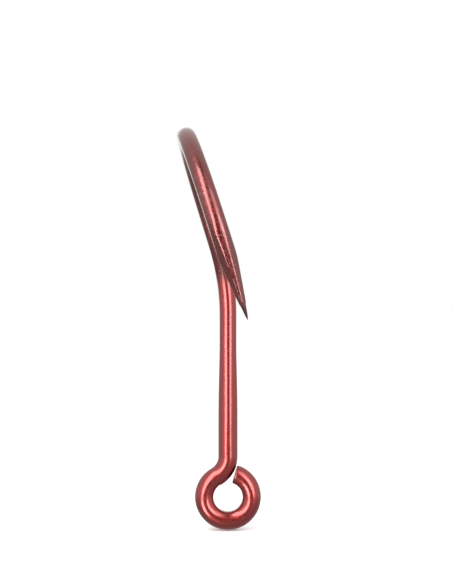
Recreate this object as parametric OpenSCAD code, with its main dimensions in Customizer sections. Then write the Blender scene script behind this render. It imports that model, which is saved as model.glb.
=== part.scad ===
// Single fishing hook with an offset point: one forged and ground steel wire in a thin red finish.
// The origin is the centre of the eye. +Z runs up the shank and -Y is the side of the point.
// The bend leans towards -X above the kink, so the point comes back down across the shank's line.

/* [Wire] */
// Diameter of the round wire
wire_d = 0.94; // [0.78:0.02:1.2]
// Sideways thickness of the wire where it is forged flat
forged_w = 0.82; // [0.65:0.01:1]

/* [Eye] */
// Diameter of the finished hole in the eye
eye_hole_d = 1.5; // [1.2:0.05:2.2]
// Depth that the forming pin flattens the inside of the eye
eye_land = 0.05; // [0.02:0.01:0.08]
// Radius of the centre line where the shank turns off into the eye
neck_r = 1.2; // [0.9:0.05:2]
// Gap between the cut end of the wire and the neck
eye_gap = 0.1; // [0.08:0.01:0.3]

/* [Shank] */
// Length from the centre of the eye to the start of the kink
shank_l = 9.3; // [7:0.1:24]
// Length over which the forged flats run out down the shank
forge_l = 6; // [3:0.1:7]

/* [Kink] */
// Sideways lean of the bend above the kink, in degrees
kink_a = 17.7; // [8:0.1:22]
// Radius of the centre line in the kink
kink_r = 12.2; // [5:0.1:14]

/* [Bend] */
// Gape, from the middle of the shank to the middle of the point's leg
gape = 9.5; // [7:0.1:12]
// Straight wire between the kink and the bend
back_leg_l = 0.35; // [0.2:0.05:3]

/* [Point] */
// Length from the end of the bend to the tip
spear_l = 4.3; // [4.3:0.05:7]
// Length of the ground faces, from the tip to where they run out
ground_l = 4.25; // [3.6:0.05:4.3]
// Distance of the slanting ground faces from the middle of the wire at the tip
slant_gap = 0.01; // [0.005:0.005:0.04]
// Distance of the ground face on the outside from the middle of the wire at the tip
front_gap = 0.055; // [0.03:0.005:0.09]
// Half-angle of the short bevels that make the tip, in degrees
bevel_a = 15.5; // [13:0.5:20]
// Length of the cutting edge at the very tip
tip_edge = 0.02; // [0.01:0.005:0.04]

/* [Barb] */
// Distance of the barb's free end from the tip
barb_s = 3.3; // [2.8:0.05:3.6]
// Height of the barb's free end above the wire
barb_h = 0.2; // [0.1:0.01:0.3]
// Length of the sliver that stands free
barb_l = 0.65; // [0.5:0.05:0.8]
// Depth of the cut that lifts the sliver
barb_cut = 0.28; // [0.2:0.01:0.34]

/* [Finish] */
// Thickness of the red finish
finish_t = 0.03; // [0.025:0.005:0.038]
// Length of bare steel at the tip
bare_tip = 0.55; // [0.35:0.05:1]

/* [Hidden] */
$fn = 64;

wire_r = wire_d / 2;
eye_r = eye_hole_d / 2 + finish_t - eye_land + wire_r;
// The neck's arc touches the eye's circle from outside and the shank's line from the side.
neck_z = sqrt(pow(eye_r + neck_r, 2) - neck_r * neck_r);
neck_a = acos(neck_r / (eye_r + neck_r));
// The eye turns on until its cut end stands eye_gap clear of the neck's flank.
eye_open_a = asin((neck_r + wire_r + eye_gap) / (eye_r + neck_r));
eye_turn_a = 360 - eye_open_a;
bend_r = gape / 2;
tip_z = back_leg_l - spear_l;
// Room past the wire for the solids that cut it
over = 4 * wire_d;
// Start of the forged flats, which run out just above the wire's round flank
run_out = 0.02;
// Each bent stretch is a hair thicker than its neighbours and laps into them, so that all join.
hair = 0.004;
lap = 0.01;
// The barb's root, its free end and the place on the wire where it starts to lift, as distance
// from the wire's middle and height above the tip
barb_root = [wire_r - barb_cut, barb_s - barb_l];
barb_end = [wire_r + barb_h, barb_s];
barb_lift = [wire_r, barb_s - 1.6 * barb_l];
barb_lift_a = atan((barb_end[0] - barb_lift[0]) / (barb_end[1] - barb_lift[1]));

// Face directions of the spear, from the outside of the point, each with its half-angle and gap
slant_a = atan((wire_r - slant_gap) / ground_l);
front_a = atan((wire_r - front_gap) / ground_l);
slant_faces = [for (a = [-122, -52, 52, 122]) [a, slant_a, slant_gap]];
front_face = [[0, front_a, front_gap]];
bevel_faces = [for (a = [-90, 90]) [a, bevel_a, 0]];
inner_bevel = [[180, bevel_a, tip_edge]];
ground_faces = concat(slant_faces, front_face, bevel_faces, inner_bevel);

// Cross-section of the wire, cut to a width in x and in y, all grown by g
module section(x, y, g) {
    intersection() {
        circle(r = wire_r + g);
        square([x + 2 * g, y + 2 * g], center = true);
    }
}

// Wire bent on an arc: it starts at the origin up +Z and turns towards -X.
module arc(radius, angle, x, y, g) {
    lap_a = lap / radius * 180 / PI;
    translate([-radius, 0, 0])
        rotate([90, 0, 0])
            rotate([0, 0, -lap_a])
                rotate_extrude(angle = angle + 2 * lap_a)
                    translate([radius, 0])
                        section(x, y, g + hair);
}

// The eye, from its cut end right round to the neck
module eye(g) {
    end_cap_a = g / eye_r * 180 / PI;
    start_a = 180 - neck_a;
    rotate([90, 0, 0])
        rotate([0, 0, start_a])
            rotate_extrude(angle = eye_turn_a + end_cap_a)
                translate([eye_r, 0])
                    section(over, over, g);
}

// The short arc that leads from the shank's line to the eye
module neck(g) {
    translate([0, 0, neck_z])
        mirror([0, 0, 1])
            arc(neck_r, neck_a, over, over, g);
}

// The round shank, with forged flats that deepen towards the kink
module shank(g) {
    full_z = neck_z + forge_l;
    flat_r = forged_w / 2 + g;
    round_r = wire_r + g + run_out;
    intersection() {
        translate([0, 0, neck_z])
            cylinder(r = wire_r + g, h = shank_l - neck_z);
        rotate([90, 0, 0])
            linear_extrude(height = over, center = true)
                polygon([[-round_r, neck_z], [round_r, neck_z], [flat_r, full_z],
                         [flat_r, shank_l], [-flat_r, shank_l], [-flat_r, full_z]]);
    }
}

// The kink, bent sideways
module kink(g) {
    translate([0, 0, shank_l])
        arc(kink_r, kink_a, forged_w, over, g);
}

// Moves its children to the end of the kink, leaning with it.
module above_kink() {
    translate([-kink_r, 0, shank_l])
        rotate([0, -kink_a, 0])
            translate([kink_r, 0, 0])
                children();
}

// The straight back leg and the round bend
module back_leg_and_bend(g) {
    linear_extrude(height = back_leg_l)
        section(forged_w, over, g);
    translate([0, 0, back_leg_l])
        rotate([0, 0, 90])
            arc(bend_r, 180, over, forged_w, g);
}

// One ground face: a block that takes away the wire beyond a plane rising from the tip
module grind(face, g) {
    rotate([0, 0, face[0] - 90])
        translate([face[2], 0, 0])
            rotate([0, face[1], 0])
                translate([g, -over, -over])
                    cube([2 * over, 2 * over, spear_l + 2 * over]);
}

// Stands an outline up in the plane of the bend, facing the shank.
module upright() {
    rotate([0, 0, 90])
        rotate([90, 0, 0])
            linear_extrude(height = over, center = true)
                children();
}

// The notch that the barb's sliver was lifted out of
module notch(g) {
    upright()
        offset(delta = -g)
            polygon([barb_root, barb_root + 2 * (barb_end - barb_root),
                     [barb_end[0] + barb_h, barb_s + barb_l], [wire_r, barb_s + barb_l / 4]]);
}

// The straight wire of the spear, ground to its point at the origin
module ground_wire(g) {
    difference() {
        translate([0, 0, -wire_r])
            linear_extrude(height = spear_l + wire_r)
                section(forged_w, over, g);
        for (face = ground_faces) grind(face, g);
    }
}

// The barb: a sliver of the ground wire, lifted about the place where it starts
module barb(g) {
    intersection() {
        upright()
            offset(delta = g)
                polygon([barb_root - [0, barb_l], barb_root, barb_end, barb_end - [0, 2 * barb_l]]);
        translate([0, barb_lift[0], barb_lift[1]])
            rotate([-barb_lift_a, 0, 0])
                translate([0, -barb_lift[0], -barb_lift[1]])
                    ground_wire(g);
    }
}

// The spear, with the barb on its inside
module spear(g) {
    translate([0, -gape, tip_z]) {
        difference() {
            ground_wire(g);
            notch(g);
        }
        barb(g);
    }
}

// The bent wire in one piece, grown by g all over
module hook(g) {
    difference() {
        union() {
            eye(g);
            neck(g);
            shank(g);
            kink(g);
            above_kink() {
                back_leg_and_bend(g);
                spear(g);
            }
        }
        rotate([90, 0, 0])
            cylinder(r = eye_hole_d / 2 + finish_t - g, h = over, center = true);
    }
}

// Forged steel wire
module steel_wire() {
    color("#8c8680") hook(0);
}

// Red finish on the whole wire but the tip
module red_finish() {
    color("#a3201f")
        difference() {
            hook(finish_t);
            hook(0);
            above_kink()
                translate([0, -gape, tip_z + bare_tip - over])
                    linear_extrude(height = over)
                        square(over, center = true);
        }
}

steel_wire();
red_finish();
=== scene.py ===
# Fishing hook with an offset point: forged steel wire under a thin translucent red finish.
import math

import bmesh
import bpy
import numpy as np
from mathutils import Matrix, Vector


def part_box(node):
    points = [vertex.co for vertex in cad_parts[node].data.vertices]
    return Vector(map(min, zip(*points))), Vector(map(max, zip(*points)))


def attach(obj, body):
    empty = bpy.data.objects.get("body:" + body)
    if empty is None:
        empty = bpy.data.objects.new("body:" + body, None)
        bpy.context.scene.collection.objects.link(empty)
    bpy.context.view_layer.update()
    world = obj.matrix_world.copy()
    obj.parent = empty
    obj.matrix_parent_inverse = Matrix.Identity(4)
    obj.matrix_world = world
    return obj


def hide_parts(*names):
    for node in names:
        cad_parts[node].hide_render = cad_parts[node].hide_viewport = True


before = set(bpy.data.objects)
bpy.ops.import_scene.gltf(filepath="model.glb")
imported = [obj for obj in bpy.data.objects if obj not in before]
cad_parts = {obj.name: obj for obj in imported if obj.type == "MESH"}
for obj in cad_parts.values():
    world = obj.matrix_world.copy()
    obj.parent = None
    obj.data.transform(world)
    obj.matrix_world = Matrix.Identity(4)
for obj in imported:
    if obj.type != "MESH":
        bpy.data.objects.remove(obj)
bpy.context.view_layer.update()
print("frame loaded:", ", ".join(sorted(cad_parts)))

mm = 0.001
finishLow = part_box("red_finish")[0]

# the bent wire, in millimetres and degrees
wire = {
    "finishedRadius": 0.5,
    "finish": 0.03,
    "forgedHalf": 0.44,       # half the sideways thickness over the finish, where forged
    "forgedRounding": 0.12,
    "forgeRun": 6.0,          # the flats run out over this length of the shank
    "flatsClear": 0.12,       # and start this far outside the round wire
    "neckRadius": 1.2,
    "eyeLand": 0.05,          # how deep the forming pin flattens the inside of the eye
    "landRounding": 0.012,
    "landClear": 0.1,         # how far that flat keeps off the wire everywhere else
    "eyeGap": 0.1,            # between the cut end and the neck
    "roundEnd": 0.07,         # the cut end's rounded rim
    "endRings": 5,
    "shankTop": 9.3,          # height of the kink's start over the eye's centre
    "kinkRadius": 12.2,
    "kinkAngle": 17.7,
    "backLeg": 0.35,
    "spear": 4.3,
    "ringSpacing": 0.064,
    "leastSpacing": 0.01,     # rings never come nearer to each other than this
    "steelSides": 64,
    "finishSides": 96,
    "seed": 3.0,
    # unevenness: waves to the millimetre, and how many finer waves lie on them
    "waves": {"swell": (0.9, 2.0), "dents": (3.2, 1.0), "finishEdge": (4.0, 3.0)},
    "swelling": 0.012,        # as a share of the radius, from drawing and bending
    "denting": 0.010,         # the same from the forging dies, which bite from the kink on
    "dentsFrom": (-1.0, 2.0),     # along the wire, from the kink's start
}
wire["bareRadius"] = wire["finishedRadius"] - wire["finish"]
wire["gape"] = -finishLow.y / mm - wire["finishedRadius"]
wire["eyeRadius"] = -finishLow.z / mm - wire["finishedRadius"]

# the ground point: each face's direction from the outside of the point, its distance from the
# middle of the wire at the tip, and how far it rounds into the faces before it: by the tip, and
# where it runs out
point = {
    "groundFaces": [(-122, 0.03, 0.01, 0.05), (-47, 0.03, 0.03, 0.07), (4, 0.055, 0.003, 0.12),
                    (52, 0.03, 0.08, 0.10), (122, 0.03, 0.01, 0.05)],
    "groundLength": 4.25,
    "roundedFrom": (2.7, 3.3),    # the wide rounding comes in between these heights
    "bevels": [(-90, 0.008), (90, 0.008), (180, 0.02)],
    "bevelAngle": 15.5,
    "bevelRounding": 0.01,
    "leastRadius": 0.006,
    "bareTip": 0.5,           # the finish ends about here
    "feather": 0.4,           # and thins out over this length
    "ragged": 0.25,           # how far its edge wanders
    "under": 0.3,             # share of its thickness by which its mesh dips into the steel
    "underFor": 0.1,          # and for how long
}

# outlines in the plane of the bend: distance from the wire's middle towards the shank, and
# height above the tip
barb = {
    "sliver": [(0.67, 2.0), (0.67, 3.3), (0.19, 2.65), (0.19, 2.0)],
    "notch": [(0.19, 2.65), (1.15, 3.95), (0.87, 3.95), (0.47, 3.4625)],
    "liftsAt": (0.47, 2.26),
    "lift": 10.9,             # degrees
    "halfWidth": 1.2,
    "sharpAngle": 38.0,
    "reach": 1.5,             # nothing of the barb is further from the spear's middle
}

# what each ring of the wire's guide carries along into the sweep
guideValues = {
    "centre": "FLOAT_VECTOR",
    "sideways": "FLOAT_VECTOR",
    "outward": "FLOAT_VECTOR",
    "along": "FLOAT",         # length of wire from the eye's cut end
    "fromTip": "FLOAT",
    "whole": "FLOAT",         # how much of the radius is left
    "inset": "FLOAT",         # what a rounded rim takes off it
}


def linearColour(hexCode):
    parts = [int(hexCode[i:i + 2], 16) / 255 for i in (1, 3, 5)]
    return [p / 12.92 if p <= 0.04045 else ((p + 0.055) / 1.055) ** 2.4 for p in parts] + [1.0]


def addNode(tree, kind, inputs=(), output=0, **settings):
    # inputs are values or other nodes' sockets, in a list by place or in a dictionary by name
    node = tree.nodes.new(kind)
    for name, value in settings.items():
        setattr(node, name, value)
    for key, value in inputs.items() if isinstance(inputs, dict) else enumerate(inputs):
        if isinstance(value, bpy.types.NodeSocket):
            tree.links.new(value, node.inputs[key])
        else:
            node.inputs[key].default_value = value
    return node.outputs[output] if len(node.outputs) else node


def aimAt(obj, place, target):
    obj.location = place
    obj.rotation_euler = (Vector(target) - Vector(place)).to_track_quat("-Z", "Y").to_euler()


view = {
    "distance": 75.0,         # from the shank, in millimetres
    "height": 10.5,           # over the eye's centre
    "aside": -0.10,
    "azimuth": -1.54,
    "lens": 90.15,
    "sensor": 36.0,
    "clip": (0.002, 20.0),    # metres
}


def makeCamera():
    data = bpy.data.cameras.new("camera")
    data.lens = view["lens"]
    data.sensor_width = view["sensor"]
    data.clip_start, data.clip_end = view["clip"]
    cam = bpy.data.objects.new("camera", data)
    bpy.context.scene.collection.objects.link(cam)
    turned = math.radians(view["azimuth"])
    forward = Vector((-math.sin(turned), math.cos(turned), 0))
    right = Vector((math.cos(turned), math.sin(turned), 0))
    level = Vector((0, 0, view["height"]))
    place = (level - forward * view["distance"] + right * view["aside"]) * mm
    aimAt(cam, place, place + forward)
    bpy.context.scene.camera = cam


makeCamera()
print("camera placed")


def bendGuide():
    # stations along the wire's centre line, each with its own ahead and sideways
    eyeRadius, neckRadius = wire["eyeRadius"], wire["neckRadius"]
    apart = eyeRadius + neckRadius
    openAngle = math.asin((neckRadius + wire["bareRadius"] + wire["eyeGap"]) / apart)
    neckAngle = math.acos(neckRadius / apart)
    neckTop = math.sqrt(apart ** 2 - neckRadius ** 2)
    start = math.pi - neckAngle - openAngle
    place = Vector((math.cos(start), 0, math.sin(start))) * eyeRadius
    ahead = Vector((math.sin(start), 0, -math.cos(start)))
    sideways = Vector((-math.cos(start), 0, -math.sin(start)))
    # name, length or radius, and for an arc its angle, the way it turns and its sign
    stretches = [
        ("eye", eyeRadius, 2 * math.pi - openAngle, "side", 1),
        ("neck", neckRadius, neckAngle, "side", -1),
        ("shank", wire["shankTop"] - neckTop, None, None, None),
        ("kink", wire["kinkRadius"], math.radians(wire["kinkAngle"]), "side", -1),
        ("backLeg", wire["backLeg"], None, None, None),
        ("bend", wire["gape"] / 2, math.pi, "out", -1),
        ("spear", wire["spear"], None, None, None),
    ]
    stations, along, starts = [], 0.0, {}
    for name, size, angle, way, sign in stretches:
        starts[name] = along
        length = size if angle is None else size * angle
        steps = max(2, round(length / wire["ringSpacing"]))
        firstPlace, firstAhead, firstSideways = place.copy(), ahead.copy(), sideways.copy()
        firstOutward = ahead.cross(sideways)
        for i in range(steps + 1):
            part = i / steps
            if angle is None:
                place, ahead, sideways = firstPlace + firstAhead * (length * part), firstAhead, firstSideways
            else:
                turned = angle * part
                towards = (firstSideways if way == "side" else firstOutward) * sign
                away = towards * (1 - math.cos(turned)) + firstAhead * math.sin(turned)
                place = firstPlace + away * size
                ahead = firstAhead * math.cos(turned) + towards * math.sin(turned)
                if way == "side":
                    sideways = firstSideways * math.cos(turned) - firstAhead * sign * math.sin(turned)
            if i < steps or name == "spear":
                stations.append((place.copy(), ahead.copy(), sideways.copy(), along + length * part))
        along += length
    starts["end"] = along
    return stations, starts


stations, starts = bendGuide()
print("guide bent:", len(stations), "stations,", round(starts["end"], 2), "mm of wire")


def guideMesh(name, rows):
    # each row is a ring: place, ahead, sideways, along, whole and inset
    mesh = bpy.data.meshes.new(name)
    mesh.from_pydata([tuple(place * mm) for place, *_ in rows],
                     [(i, i + 1) for i in range(len(rows) - 1)], [])
    kept = [(place * mm, sideways, ahead.cross(sideways), along, starts["end"] - along, whole, inset)
            for place, ahead, sideways, along, whole, inset in rows]
    for (key, kind), values in zip(guideValues.items(), zip(*kept)):
        data = mesh.attributes.new(key, kind, "POINT").data
        flat = np.array(values, np.float32).ravel()
        data.foreach_set("vector" if kind == "FLOAT_VECTOR" else "value", flat)
    obj = bpy.data.objects.new(name, mesh)
    bpy.context.scene.collection.objects.link(obj)
    return obj


def wholeWireRows(thickness, stopShort):
    place, ahead, sideways, _ = stations[0]
    rows = [(place - ahead * thickness, ahead, sideways, -thickness, 0.0, 0.0)]
    for ring in range(wire["endRings"]):
        turned = math.pi / 2 * ring / wire["endRings"]
        back = wire["roundEnd"] * (1 - math.cos(turned)) - thickness
        inset = wire["roundEnd"] * (1 - math.sin(turned))
        rows.append((place + ahead * back, ahead, sideways, back, 1.0, inset))
    last = starts["end"] - stopShort
    rimEnd, spacing = rows[-1][3], wire["leastSpacing"]
    rows += [(*s, 1.0, 0.0) for s in stations if rimEnd + spacing < s[3] < last - spacing]
    place, ahead, sideways, _ = stations[-1]
    place = place - ahead * stopShort
    return rows + [(place, ahead, sideways, last, 1.0, 0.0), (place, ahead, sideways, last, 0.0, 0.0)]


# the spear's own directions, and places in the plane of the bend beside it
tip, ahead, sideways, _ = stations[-1]
outward = ahead.cross(sideways)


def besideSpear(distance, height, across=0.0):
    return tip - outward * distance - ahead * height + sideways * across


def liftedSpearRows():
    # the upper part of the spear again, tilted about the place where the barb lifts
    pivot = besideSpear(*barb["liftsAt"])
    tilt = Matrix.Rotation(-math.radians(barb["lift"]), 3, sideways)
    rows = [(pivot + tilt @ (place - pivot), tilt @ onward, side, along, 1.0, 0.0)
            for place, onward, side, along in stations
            if along > starts["spear"] + wire["leastSpacing"]]
    return [(*rows[0][:4], 0.0, 0.0)] + rows + [(*rows[-1][:4], 0.0, 0.0)]


def grown(outline, by):
    # moves every side of an outline out by the same distance
    sides = [(Vector(b) - Vector(a)).normalized() for a, b in zip(outline, outline[1:] + outline[:1])]
    outs = [Vector((side.y, -side.x)) for side in sides]
    return [Vector(corner) + (before + after) * by / (1 + before.dot(after))
            for corner, before, after in zip(outline, outs[-1:] + outs[:-1], outs)]


def makePrism(name, outline):
    bm = bmesh.new()
    ends = [[bm.verts.new(besideSpear(*corner, across) * mm) for corner in outline]
            for across in (-barb["halfWidth"], barb["halfWidth"])]
    for end in ends:
        bm.faces.new(end)
    for i in range(len(outline)):
        bm.faces.new([ends[0][i - 1], ends[0][i], ends[1][i], ends[1][i - 1]])
    bmesh.ops.recalc_face_normals(bm, faces=bm.faces)
    mesh = bpy.data.meshes.new(name)
    bm.to_mesh(mesh)
    bm.free()
    obj = bpy.data.objects.new(name, mesh)
    bpy.context.scene.collection.objects.link(obj)
    return obj


def makeSweepTree():
    # sweeps a ring of points along the guide, and gives each point its own radius
    tree = bpy.data.node_groups.new("forgedWire", "GeometryNodeTree")
    sizes = {
        "Sides": ("NodeSocketInt", wire["steelSides"]),
        "Bare radius": ("NodeSocketFloat", wire["bareRadius"]),
        "Forged half width": ("NodeSocketFloat", wire["forgedHalf"] - wire["finish"]),
        "Forging starts": ("NodeSocketFloat", starts["shank"]),
        "Forging is full": ("NodeSocketFloat", starts["shank"] + wire["forgeRun"]),
        "Forged rounding": ("NodeSocketFloat", wire["forgedRounding"]),
        "Eye ends": ("NodeSocketFloat", starts["neck"]),
        "Eye land": ("NodeSocketFloat", wire["eyeLand"]),
        "Finish": ("NodeSocketFloat", 0.0),
        "Finish ends": ("NodeSocketFloat", point["bareTip"]),
        "Waviness": ("NodeSocketFloat", wire["swelling"]),
        "Hammering": ("NodeSocketFloat", wire["denting"]),
        "Seed": ("NodeSocketFloat", wire["seed"]),
        "Material": ("NodeSocketMaterial", None),
    }
    tree.interface.new_socket("Guide", in_out="INPUT", socket_type="NodeSocketGeometry")
    for name, (kind, value) in sizes.items():
        socket = tree.interface.new_socket(name, in_out="INPUT", socket_type=kind)
        if value is not None:
            socket.default_value = value
    tree.interface.new_socket("Wire", in_out="OUTPUT", socket_type="NodeSocketGeometry")
    given = addNode(tree, "NodeGroupInput").node.outputs

    # the ring's own radius doesn't matter, because every point is placed anew
    circle = addNode(tree, "GeometryNodeCurvePrimitiveCircle",
                     {"Resolution": given["Sides"], "Radius": mm}, mode="RADIUS")
    index = addNode(tree, "GeometryNodeInputIndex")
    turn = addNode(tree, "ShaderNodeMath", [index, given["Sides"]], operation="DIVIDE")
    turn = addNode(tree, "ShaderNodeMath", [turn, 2 * math.pi], operation="MULTIPLY")
    profile = addNode(tree, "GeometryNodeStoreNamedAttribute",
                      {"Geometry": circle, "Name": "turn", "Value": turn},
                      data_type="FLOAT", domain="POINT")
    path = addNode(tree, "GeometryNodeMeshToCurve", {"Mesh": given["Guide"]})
    swept = addNode(tree, "GeometryNodeCurveToMesh", {"Curve": path, "Profile Curve": profile})

    kept = {name: addNode(tree, "GeometryNodeInputNamedAttribute", {"Name": name}, "Attribute",
                          data_type=kind)
            for name, kind in {**guideValues, "turn": "FLOAT"}.items()}
    along, fromTip = kept["along"], kept["fromTip"]
    cosine = addNode(tree, "ShaderNodeMath", [kept["turn"]], operation="COSINE")
    sine = addNode(tree, "ShaderNodeMath", [kept["turn"]], operation="SINE")
    steel = given["Bare radius"]
    # the wire as if straight, for patterns that follow it
    straight = addNode(tree, "ShaderNodeCombineXYZ", {
        "X": addNode(tree, "ShaderNodeMath", [cosine, steel], operation="MULTIPLY"),
        "Y": addNode(tree, "ShaderNodeMath", [sine, steel], operation="MULTIPLY"),
        "Z": along})

    # the round wire, then each flat takes its share: its distance from the middle over the
    # cosine of the angle to it, which is kept from reaching nothing
    leastFacing, leastInEye = 0.03, 0.05
    clear = addNode(tree, "ShaderNodeMath", [steel, wire["flatsClear"]], operation="ADD")
    forged = addNode(tree, "ShaderNodeMapRange",
                     [along, given["Forging starts"], given["Forging is full"], clear,
                      given["Forged half width"]], interpolation_type="SMOOTHSTEP")
    facing = addNode(tree, "ShaderNodeMath", [cosine], operation="ABSOLUTE")
    facing = addNode(tree, "ShaderNodeMath", [facing, leastFacing], operation="MAXIMUM")
    flats = addNode(tree, "ShaderNodeMath", [forged, facing], operation="DIVIDE")
    radius = addNode(tree, "ShaderNodeMath", [steel, flats, given["Forged rounding"]],
                     operation="SMOOTH_MIN")

    inEye = addNode(tree, "ShaderNodeMath", [along, given["Eye ends"]], operation="LESS_THAN")
    depth = addNode(tree, "ShaderNodeMath", [given["Eye land"], wire["landClear"]], operation="ADD")
    depth = addNode(tree, "ShaderNodeMath", [inEye, depth, -wire["landClear"]],
                    operation="MULTIPLY_ADD")
    reach = addNode(tree, "ShaderNodeMath", [steel, depth], operation="SUBTRACT")
    facing = addNode(tree, "ShaderNodeMath", [cosine, leastInEye], operation="MAXIMUM")
    land = addNode(tree, "ShaderNodeMath", [reach, facing], operation="DIVIDE")
    radius = addNode(tree, "ShaderNodeMath", [radius, land, wire["landRounding"]],
                     operation="SMOOTH_MIN")

    faces = []
    for direction, gap, narrow, wide in point["groundFaces"]:
        rise = (wire["bareRadius"] - gap) / point["groundLength"]
        rounding = addNode(tree, "ShaderNodeMapRange", [fromTip, *point["roundedFrom"], narrow, wide],
                           interpolation_type="SMOOTHSTEP")
        faces.append((direction, gap, rise, rounding))
    for direction, gap in point["bevels"]:
        rise = math.tan(math.radians(point["bevelAngle"]))
        faces.append((direction, gap, rise, point["bevelRounding"]))
    for direction, gap, rise, rounding in faces:
        # outward is a quarter turn on from sideways
        facing = addNode(tree, "ShaderNodeMath", [kept["turn"], math.radians(90 - direction)],
                         operation="SUBTRACT")
        facing = addNode(tree, "ShaderNodeMath", [facing], operation="COSINE")
        facing = addNode(tree, "ShaderNodeMath", [facing, leastFacing], operation="MAXIMUM")
        reach = addNode(tree, "ShaderNodeMath", [fromTip, rise, gap], operation="MULTIPLY_ADD")
        ground = addNode(tree, "ShaderNodeMath", [reach, facing], operation="DIVIDE")
        radius = addNode(tree, "ShaderNodeMath", [radius, ground, rounding], operation="SMOOTH_MIN")
    radius = addNode(tree, "ShaderNodeMath", [radius, point["leastRadius"]], operation="MAXIMUM")

    # slow waves from drawing and bending, and the forging dies' finer unevenness
    waves = {}
    for name, (scale, detail) in wire["waves"].items():
        found = addNode(tree, "ShaderNodeTexNoise",
                        {"Vector": straight, "W": given["Seed"], "Scale": scale, "Detail": detail},
                        noise_dimensions="4D")
        waves[name] = addNode(tree, "ShaderNodeMath", [found, 0.5], operation="SUBTRACT")
    swell = addNode(tree, "ShaderNodeMath", [waves["swell"], given["Waviness"]], operation="MULTIPLY")
    fadeStart, fadeEnd = (starts["kink"] + step for step in wire["dentsFrom"])
    hammering = addNode(tree, "ShaderNodeMapRange", [along, fadeStart, fadeEnd, 0.0, given["Hammering"]],
                        interpolation_type="SMOOTHSTEP")
    dents = addNode(tree, "ShaderNodeMath", [waves["dents"], hammering], operation="MULTIPLY")
    uneven = addNode(tree, "ShaderNodeMath", [swell, dents], operation="ADD")
    body = addNode(tree, "ShaderNodeMath", [radius, wire["finishedRadius"]], operation="MINIMUM")
    radius = addNode(tree, "ShaderNodeMath", [uneven, body, radius], operation="MULTIPLY_ADD")

    # the finish, with its ragged edge near the tip
    edge = addNode(tree, "ShaderNodeMath", [fromTip, given["Finish ends"]], operation="SUBTRACT")
    edge = addNode(tree, "ShaderNodeMath", [waves["finishEdge"], point["ragged"], edge],
                   operation="MULTIPLY_ADD")
    cover = addNode(tree, "ShaderNodeMapRange", [edge, 0.0, point["feather"], -point["under"], 1.0],
                    interpolation_type="SMOOTHSTEP")
    radius = addNode(tree, "ShaderNodeMath", [cover, given["Finish"], radius],
                     operation="MULTIPLY_ADD")
    radius = addNode(tree, "ShaderNodeMath", [radius, kept["inset"]], operation="SUBTRACT")
    radius = addNode(tree, "ShaderNodeMath", [radius, 0.0], operation="MAXIMUM")
    radius = addNode(tree, "ShaderNodeMath", [radius, kept["whole"]], operation="MULTIPLY")

    steps = []
    for name, share in (("sideways", cosine), ("outward", sine)):
        length = addNode(tree, "ShaderNodeMath", [radius, share], operation="MULTIPLY")
        length = addNode(tree, "ShaderNodeMath", [length, mm], operation="MULTIPLY")
        steps.append(addNode(tree, "ShaderNodeVectorMath", {"Vector": kept[name], "Scale": length},
                             operation="SCALE"))
    step = addNode(tree, "ShaderNodeVectorMath", steps, operation="ADD")
    place = addNode(tree, "ShaderNodeVectorMath", [kept["centre"], step], operation="ADD")
    moved = addNode(tree, "GeometryNodeSetPosition", {"Geometry": swept, "Position": place})
    # each end closes in one point, whose ring is merged here
    joined = addNode(tree, "GeometryNodeMergeByDistance", {"Geometry": moved, "Distance": 0.0001 * mm})
    smooth = addNode(tree, "GeometryNodeSetShadeSmooth", {"Geometry": joined, "Shade Smooth": True})
    unbent = addNode(tree, "GeometryNodeStoreNamedAttribute",
                     {"Geometry": smooth, "Name": "unbent", "Value": straight},
                     data_type="FLOAT_VECTOR", domain="POINT")
    real = addNode(tree, "GeometryNodeRealizeInstances", {"Geometry": unbent})
    painted = addNode(tree, "GeometryNodeSetMaterial",
                      {"Geometry": real, "Material": given["Material"]})
    addNode(tree, "NodeGroupOutput", {"Wire": painted})
    return tree


sweepTree = makeSweepTree()
print("sweep tree made:", len(sweepTree.nodes), "nodes")


def settle(obj):
    # turns what the object's modifiers make of it into its plain mesh
    bpy.context.view_layer.update()
    mesh = bpy.data.meshes.new_from_object(obj.evaluated_get(bpy.context.evaluated_depsgraph_get()))
    obj.modifiers.clear()
    obj.data = mesh


def sweep(name, rows, material, sides, finish):
    obj = guideMesh(name, rows)
    modifier = obj.modifiers.new("sweep", "NODES")
    modifier.node_group = sweepTree
    values = {"Sides": sides, "Finish": finish, "Material": material}
    for item in sweepTree.interface.items_tree:
        if item.in_out == "INPUT" and item.name in values:
            modifier[item.identifier] = values[item.name]
    settle(obj)
    return obj


def combine(target, operation, cutter):
    modifier = target.modifiers.new("combine", "BOOLEAN")
    modifier.operation = operation
    modifier.solver = "MANIFOLD"
    modifier.object = cutter
    settle(target)
    bpy.data.objects.remove(cutter)


def raiseBarb(obj, material, sides, finish):
    sliver = sweep("sliver", liftedSpearRows(), material, sides, finish)
    combine(sliver, "INTERSECT", makePrism("sliverOutline", grown(barb["sliver"], finish)))
    combine(obj, "DIFFERENCE", makePrism("notchOutline", grown(barb["notch"], -finish)))
    combine(obj, "UNION", sliver)


def followSpear(mesh):
    # gives the points of the spear, new ones among them, their places along the straight wire
    count = len(mesh.vertices)
    places = np.empty(count * 3)
    mesh.vertices.foreach_get("co", places)
    fromTip = places.reshape(-1, 3) / mm - np.array(tip)
    across, out, up = (fromTip @ np.array(way) for way in (sideways, outward, -ahead))
    onSpear = (up < wire["spear"]) & (np.hypot(across, out) < barb["reach"])
    share = np.maximum(np.hypot(across, out), 1e-6) / wire["bareRadius"]
    unbent = np.empty(count * 3)
    data = mesh.attributes["unbent"].data
    data.foreach_get("vector", unbent)
    unbent = unbent.reshape(-1, 3)
    straight = np.stack([across / share, out / share, starts["end"] - up], axis=1)
    unbent[onSpear] = straight[onSpear]
    data.foreach_set("vector", unbent.astype(np.float32).ravel())


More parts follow.
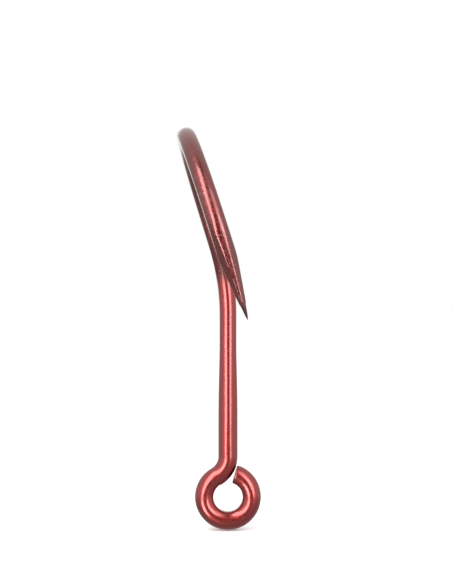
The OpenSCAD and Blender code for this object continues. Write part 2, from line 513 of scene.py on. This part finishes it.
def checkAndShade(obj):
    bm = bmesh.new()
    bm.from_mesh(obj.data)
    openEdges = sum(len(edge.link_faces) != 2 for edge in bm.edges)
    print(obj.name + ":", len(bm.faces), "faces,", openEdges, "open edges,",
          round(bm.calc_volume(signed=True) / mm ** 3, 2), "cubic mm")
    bm.free()
    followSpear(obj.data)
    obj.data.shade_smooth()
    obj.data.set_sharp_from_angle(angle=math.radians(barb["sharpAngle"]))


groundSteel = {
    "base": "#6c514c",
    "worn": "#43302d",
    "roughness": (0.28, 0.48),    # where clean, and where tarnished
    "patches": (4.0, 5.0, 0.6),   # to the millimetre, their detail and its roughness
    "patchRange": (0.35, 0.65),
    "grit": 0.03,             # mm between grinding lines; the real ones are half that
    "lineTurn": 0.25,         # the lines slant by this, in radians
    "lineStretch": 0.06,
    "lineDepth": 0.0015,      # mm
}


def steelSurface():
    # high-carbon steel, ground: a dull dark metal with fine lines across its faces, browner in
    # patches where it has started to tarnish
    mat = bpy.data.materials.new("groundSteel")
    mat.use_nodes = True
    tree = mat.node_tree
    surface = tree.nodes["Principled BSDF"]
    surface.inputs["Metallic"].default_value = 1.0
    unbent = addNode(tree, "ShaderNodeAttribute", output="Vector", attribute_name="unbent")
    scale, detail, roughness = groundSteel["patches"]
    patches = addNode(tree, "ShaderNodeTexNoise",
                      {"Vector": unbent, "Scale": scale, "Detail": detail, "Roughness": roughness})
    colour = addNode(tree, "ShaderNodeMix", {
        "Factor": patches, "A": linearColour(groundSteel["base"]),
        "B": linearColour(groundSteel["worn"])}, "Result", data_type="RGBA")
    tree.links.new(colour, surface.inputs["Base Color"])
    stretch = groundSteel["lineStretch"]
    squeezed = addNode(tree, "ShaderNodeMapping",
                       {"Vector": unbent, "Rotation": (0.0, groundSteel["lineTurn"], 0.0),
                        "Scale": (stretch, stretch, 1.0)})
    lines = addNode(tree, "ShaderNodeTexNoise",
                    {"Vector": squeezed, "Scale": 1 / groundSteel["grit"], "Detail": 2.0})
    bump = addNode(tree, "ShaderNodeBump",
                   {"Height": lines, "Distance": groundSteel["lineDepth"] * mm})
    tree.links.new(bump, surface.inputs["Normal"])
    rough = addNode(tree, "ShaderNodeMapRange",
                    [patches, *groundSteel["patchRange"], *groundSteel["roughness"]])
    tree.links.new(rough, surface.inputs["Roughness"])
    return mat


redLacquer = {
    "drawn": "#9f3532",       # over the bright drawn wire of the shank
    "forged": "#823835",      # over the duller forged and ground wire
    "backLegPaintedShade": "#5f3331",    # painted shade on the back leg above the kink, darkening it where the left light's reflection would show
    "thin": "#b98a80",        # where it has run thin off the high spots
    "pit": "#2a1412",
    "coatIor": 1.6,
    "coatRoughness": 0.10,
    # roughness on the drawn and on the forged wire, and how much the mottling varies it
    "drawnRoughness": (0.33, 0.4),
    "forgedRoughness": (0.37, 0.7),
    # where the back leg is painted darker: share of that painted shade colour, more roughness, and less of
    # the gloss coat
    "backLegDullingAndPaintedShade": (0.75, 0.3, -0.8),
    # each pattern's size in mm and detail, its stretch along the wire's three directions, and turn
    "patterns": {
        "mottle": (0.12, 2.0, (1.0, 1.0, 1.0), (0.0, 0.0, 0.0)),       # where the wire is forged
        "clouds": (0.9, 3.0, (1.0, 1.0, 0.5), (0.0, 0.0, 0.0)),
        "drawing": (0.05, 1.0, (1.0, 1.0, 0.04), (0.0, 0.0, 0.0)),     # lines left by the drawing die
        "scuffs": (0.07, 2.0, (0.12, 0.12, 1.0), (0.5, 0.3, 0.0)),     # across the forged sides
    },
    "pitSpacing": 0.16,       # mm between the places where a pit may be
    "pitFrom": (0.86, 0.9),       # a place's random number has to pass this
    "pitEdge": (0.12, 0.26),      # of the spacing, from the middle of a pit
    "thinFrom": (0.62, 0.74),     # heights of the mottling
    "thinMost": 0.6,
    "pitDarkness": 0.7,
    "cloudRange": (0.2, 0.5),
    "cloudShare": (0.75, 1.0),    # of the forged colour, which the clouds vary
    # along the wire in mm: from the kink's start, and from the bend's
    "forgedFrom": (1.2, 2.4),
    "paintedShadeUntil": (-1.0, 1.5),
    "wander": 1.2,            # mm by which the clouds shift both
    # heights in mm
    "drawingHeight": 0.002,
    "mottleHeight": 0.006,
    "scuffHeight": 0.003,
    "pitDepth": 0.02,
    "onDrawn": 0.2,           # share of the mottling and scuffs that the drawn wire has too
    "levelling": 0.5,         # share of them all that still shows in the gloss coat
}


def redSurface():
    # translucent red lacquer over bright nickel: a red metal with a gloss coat, clean on the
    # drawn shank and mottled where the wire under it is forged
    mat = bpy.data.materials.new("redLacquer")
    mat.use_nodes = True
    tree = mat.node_tree
    surface = tree.nodes["Principled BSDF"]
    surface.inputs["Metallic"].default_value = 1.0
    surface.inputs["Coat Roughness"].default_value = redLacquer["coatRoughness"]
    surface.inputs["Coat IOR"].default_value = redLacquer["coatIor"]
    unbent = addNode(tree, "ShaderNodeAttribute", output="Vector", attribute_name="unbent")
    alongWire = addNode(tree, "ShaderNodeSeparateXYZ", [unbent], "Z")
    pattern = {}
    for name, (size, detail, stretch, turn) in redLacquer["patterns"].items():
        place = addNode(tree, "ShaderNodeMapping", {"Vector": unbent, "Rotation": turn, "Scale": stretch})
        pattern[name] = addNode(tree, "ShaderNodeTexNoise",
                                {"Vector": place, "Scale": 1 / size, "Detail": detail})

    # where the wire is forged, and the back leg above the kink, which is dulled and painted darker as
    # painted shade
    ragged = addNode(tree, "ShaderNodeMath", [pattern["clouds"], 0.5], operation="SUBTRACT")
    ragged = addNode(tree, "ShaderNodeMath", [ragged, redLacquer["wander"], alongWire],
                     operation="MULTIPLY_ADD")
    low, high = (starts["kink"] + step for step in redLacquer["forgedFrom"])
    forged = addNode(tree, "ShaderNodeMapRange", [ragged, low, high, 0.0, 1.0],
                     interpolation_type="SMOOTHSTEP")
    low, high = (starts["bend"] + step for step in redLacquer["paintedShadeUntil"])
    backLegPaintedShade = addNode(tree, "ShaderNodeMapRange", [ragged, low, high, 1.0, 0.0],
                       interpolation_type="SMOOTHSTEP")
    backLegPaintedShade = addNode(tree, "ShaderNodeMath", [forged, backLegPaintedShade], operation="MULTIPLY")
    paintedShadeShare, dulledRoughness, dulledCoat = redLacquer["backLegDullingAndPaintedShade"]

    # pits, and high spots that the lacquer has run off
    spots = addNode(tree, "ShaderNodeTexVoronoi",
                    {"Vector": unbent, "Scale": 1 / redLacquer["pitSpacing"], "Randomness": 1.0},
                    "Distance", feature="F1")
    rare = addNode(tree, "ShaderNodeMapRange",
                   [spots.node.outputs["Color"], *redLacquer["pitFrom"], 0.0, 1.0],
                   interpolation_type="SMOOTHSTEP")
    rare = addNode(tree, "ShaderNodeMath", [rare, forged], operation="MULTIPLY")
    pit = addNode(tree, "ShaderNodeMapRange", [spots, *redLacquer["pitEdge"], 1.0, 0.0],
                  interpolation_type="SMOOTHSTEP")
    pit = addNode(tree, "ShaderNodeMath", [rare, pit], operation="MULTIPLY")
    thin = addNode(tree, "ShaderNodeMapRange",
                   [pattern["mottle"], *redLacquer["thinFrom"], 0.0, redLacquer["thinMost"]],
                   interpolation_type="SMOOTHSTEP")
    thin = addNode(tree, "ShaderNodeMath", [thin, forged], operation="MULTIPLY")

    cloudy = addNode(tree, "ShaderNodeMapRange",
                     [pattern["clouds"], *redLacquer["cloudRange"], *redLacquer["cloudShare"]],
                     interpolation_type="SMOOTHSTEP")
    # mixes in the forged tone, the back leg's painted shade, the thin lacquer and the pits
    colour = linearColour(redLacquer["drawn"])
    for name, where, share in (("forged", forged, cloudy), ("backLegPaintedShade", backLegPaintedShade, paintedShadeShare),
                               ("thin", thin, 1.0), ("pit", pit, redLacquer["pitDarkness"])):
        share = addNode(tree, "ShaderNodeMath", [where, share], operation="MULTIPLY")
        colour = addNode(tree, "ShaderNodeMix",
                         {"Factor": share, "A": colour, "B": linearColour(redLacquer[name])},
                         "Result", data_type="RGBA")
    tree.links.new(colour, surface.inputs["Base Color"])

    mottle = addNode(tree, "ShaderNodeMath", [pattern["mottle"], 0.5], operation="SUBTRACT")
    roughness = [addNode(tree, "ShaderNodeMath", [mottle, varies, middle], operation="MULTIPLY_ADD")
                 for middle, varies in (redLacquer["drawnRoughness"], redLacquer["forgedRoughness"])]
    rough = addNode(tree, "ShaderNodeMix", {"Factor": forged, "A": roughness[0], "B": roughness[1]},
                    "Result", data_type="FLOAT")
    rough = addNode(tree, "ShaderNodeMath", [backLegPaintedShade, dulledRoughness, rough],
                    operation="MULTIPLY_ADD")
    tree.links.new(rough, surface.inputs["Roughness"])
    coat = addNode(tree, "ShaderNodeMath", [backLegPaintedShade, dulledCoat, 1.0], operation="MULTIPLY_ADD")
    tree.links.new(coat, surface.inputs["Coat Weight"])

    # heights in millimetres, taken down to the scene's metres by the bump's distance
    fine = addNode(tree, "ShaderNodeMath", [pattern["drawing"], redLacquer["drawingHeight"]],
                   operation="MULTIPLY")
    lumps = addNode(tree, "ShaderNodeMath", [pattern["mottle"], redLacquer["mottleHeight"]],
                    operation="MULTIPLY")
    scuffs = addNode(tree, "ShaderNodeMath", [pattern["scuffs"], redLacquer["scuffHeight"]],
                     operation="MULTIPLY")
    coarse = addNode(tree, "ShaderNodeMath", [lumps, scuffs], operation="ADD")
    onDrawn = redLacquer["onDrawn"]
    shown = addNode(tree, "ShaderNodeMath", [forged, 1 - onDrawn, onDrawn], operation="MULTIPLY_ADD")
    height = addNode(tree, "ShaderNodeMath", [coarse, shown, fine], operation="MULTIPLY_ADD")
    height = addNode(tree, "ShaderNodeMath", [pit, -redLacquer["pitDepth"], height],
                     operation="MULTIPLY_ADD")
    for share, socket in ((1.0, "Normal"), (redLacquer["levelling"], "Coat Normal")):
        bump = addNode(tree, "ShaderNodeBump", {"Height": height, "Distance": share * mm})
        tree.links.new(bump, surface.inputs[socket])
    return mat


steelMaterial = steelSurface()
redMaterial = redSurface()
print("materials made")

# the visible faces lie a few hundredths of a millimetre off the design's, for the rounded ridges
# and the unevenness
for name, node, slotName, material, sides, finish, stopShort in (
    ("steelWire", "steel_wire", "steel", steelMaterial, wire["steelSides"], 0.0, 0.0),
    ("redFinish", "red_finish", "red_lacquer", redMaterial, wire["finishSides"], wire["finish"],
     point["bareTip"] - point["underFor"]),
):
    piece = sweep(name, wholeWireRows(finish, stopShort), material, sides, finish)
    raiseBarb(piece, material, sides, finish)
    checkAndShade(piece)
    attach(piece, "root")
    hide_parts(node)


studio = {
    "plain": 1.0,             # what the camera and the floor see
    # brightness of the room in the gloss of the wire
    "lens": 0.05,             # round the camera
    "sides": 0.90,
    "sidesBehind": 0.60,
    "above": 0.78,
    "below": 0.42,
    "betweenPanels": 0.35,    # share of it that is left in front, between the panels
    # where each part of the room begins and is full, as a height or distance on a ball of radius 1
    "bands": {
        "sides": (-0.97, -0.8),
        "sidesBehind": (-0.2, 0.6),
        "above": (0.3, 0.9),
        "below": (-0.35, 0.0),
        "plain": (0.85, 0.98),
        "besidePanels": (0.1, 0.26),
        "behindPanels": (-0.3, 0.1),
    },
    "panels": [
        # azimuth, lowest and highest elevation, width and roll in degrees, and brightness
        ("panelLeft", -25.5, -8, 14, 24, 11, 5.8),
        ("panelLeftUpper", -35, 14, 64, 26, 14, 4.1),
        ("panelRight", 30, -8, 24, 22, -14, 5.1),
        ("panelRightUpper", 37, 24, 50, 24, -10, 2.0),
    ],
    # a bright patch low on the left: azimuth, elevation, radius, soft edge, brightness
    "lowPatch": (-30, -20, 10, 3, 8.0),
    "panelDistance": 0.4,     # metres
    "floor": "#fefefe",
    "floorSize": 4.0,         # metres
    "floorGap": 0.02,         # mm under the eye
}


def pointing(azimuth, elevation):
    # azimuth 0 is where the point is, and it grows to the right
    turned, raised = math.radians(azimuth), math.radians(elevation)
    return Vector((math.sin(turned) * math.cos(raised), -math.cos(turned) * math.cos(raised),
                   math.sin(raised)))


def makeWorld():
    world = bpy.data.worlds.new("studio")
    bpy.context.scene.world = world
    world.use_nodes = True
    tree = world.node_tree
    background = tree.nodes["Background"]
    direction = addNode(tree, "ShaderNodeTexCoord", output="Generated")
    x, y, z = addNode(tree, "ShaderNodeSeparateXYZ", [direction]).node.outputs
    bands = studio["bands"]
    across = addNode(tree, "ShaderNodeMath", [x], operation="ABSOLUTE")
    between = addNode(tree, "ShaderNodeMapRange",
                      [across, *bands["besidePanels"], studio["betweenPanels"], 1.0],
                      interpolation_type="SMOOTHSTEP")
    between = addNode(tree, "ShaderNodeMapRange", [y, *bands["behindPanels"], between, 1.0],
                      interpolation_type="SMOOTHSTEP")

    # from the lens to the sides, then behind, above, below and far behind, each fading into what
    # came before
    level = studio["lens"]
    for way, name in ((y, "sides"), (y, "sidesBehind"), (z, "above")):
        level = addNode(tree, "ShaderNodeMapRange", [way, *bands[name], level, studio[name]],
                        interpolation_type="SMOOTHSTEP")
    level = addNode(tree, "ShaderNodeMath", [level, between], operation="MULTIPLY")
    level = addNode(tree, "ShaderNodeMapRange", [z, *bands["below"], studio["below"], level],
                    interpolation_type="SMOOTHSTEP")
    level = addNode(tree, "ShaderNodeMapRange", [y, *bands["plain"], level, studio["plain"]],
                    interpolation_type="SMOOTHSTEP")

    azimuth, elevation, reach, edge, brightness = studio["lowPatch"]
    nearness = addNode(tree, "ShaderNodeVectorMath", [direction, pointing(azimuth, elevation)], "Value",
                       operation="DOT_PRODUCT")
    outside, inside = (math.cos(math.radians(angle)) for angle in (reach + edge, reach))
    level = addNode(tree, "ShaderNodeMapRange", [nearness, outside, inside, level, brightness],
                    interpolation_type="SMOOTHSTEP")
    glossy = addNode(tree, "ShaderNodeLightPath", output="Is Glossy Ray")
    strength = addNode(tree, "ShaderNodeMix", {"Factor": glossy, "A": studio["plain"], "B": level},
                       "Result", data_type="FLOAT")
    tree.links.new(strength, background.inputs["Strength"])
    background.inputs["Color"].default_value = (1, 1, 1, 1)


def makePanels():
    middle = Vector((0, 0, view["height"] * mm))
    far = studio["panelDistance"]
    for name, azimuth, low, high, width, roll, brightness in studio["panels"]:
        light = bpy.data.lights.new(name, "AREA")
        light.shape = "RECTANGLE"
        light.size = 2 * far * math.tan(math.radians(width / 2))
        light.size_y = 2 * far * math.tan(math.radians((high - low) / 2))
        light.energy = brightness * math.pi * light.size * light.size_y
        panel = bpy.data.objects.new(name, light)
        bpy.context.scene.collection.objects.link(panel)
        aimAt(panel, middle + pointing(azimuth, (low + high) / 2) * far, middle)
        panel.rotation_euler.rotate_axis("Z", math.radians(roll))
        panel.visible_camera = False


def makeFloor():
    bpy.ops.mesh.primitive_plane_add(size=studio["floorSize"],
                                     location=(0, 0, finishLow.z - studio["floorGap"] * mm))
    floor = bpy.context.object
    floor.name = "floor"
    mat = bpy.data.materials.new("paleFloor")    # matt, so that it shows nothing but the shadow
    mat.use_nodes = True
    surface = mat.node_tree.nodes["Principled BSDF"]
    surface.inputs["Base Color"].default_value = linearColour(studio["floor"])
    surface.inputs["Roughness"].default_value = 1.0
    surface.inputs["Specular IOR Level"].default_value = 0.0
    floor.data.materials.append(mat)
    floor.visible_glossy = False


makeWorld()
makePanels()
makeFloor()
bpy.context.scene.view_settings.view_transform = "Standard"
print("studio lit")
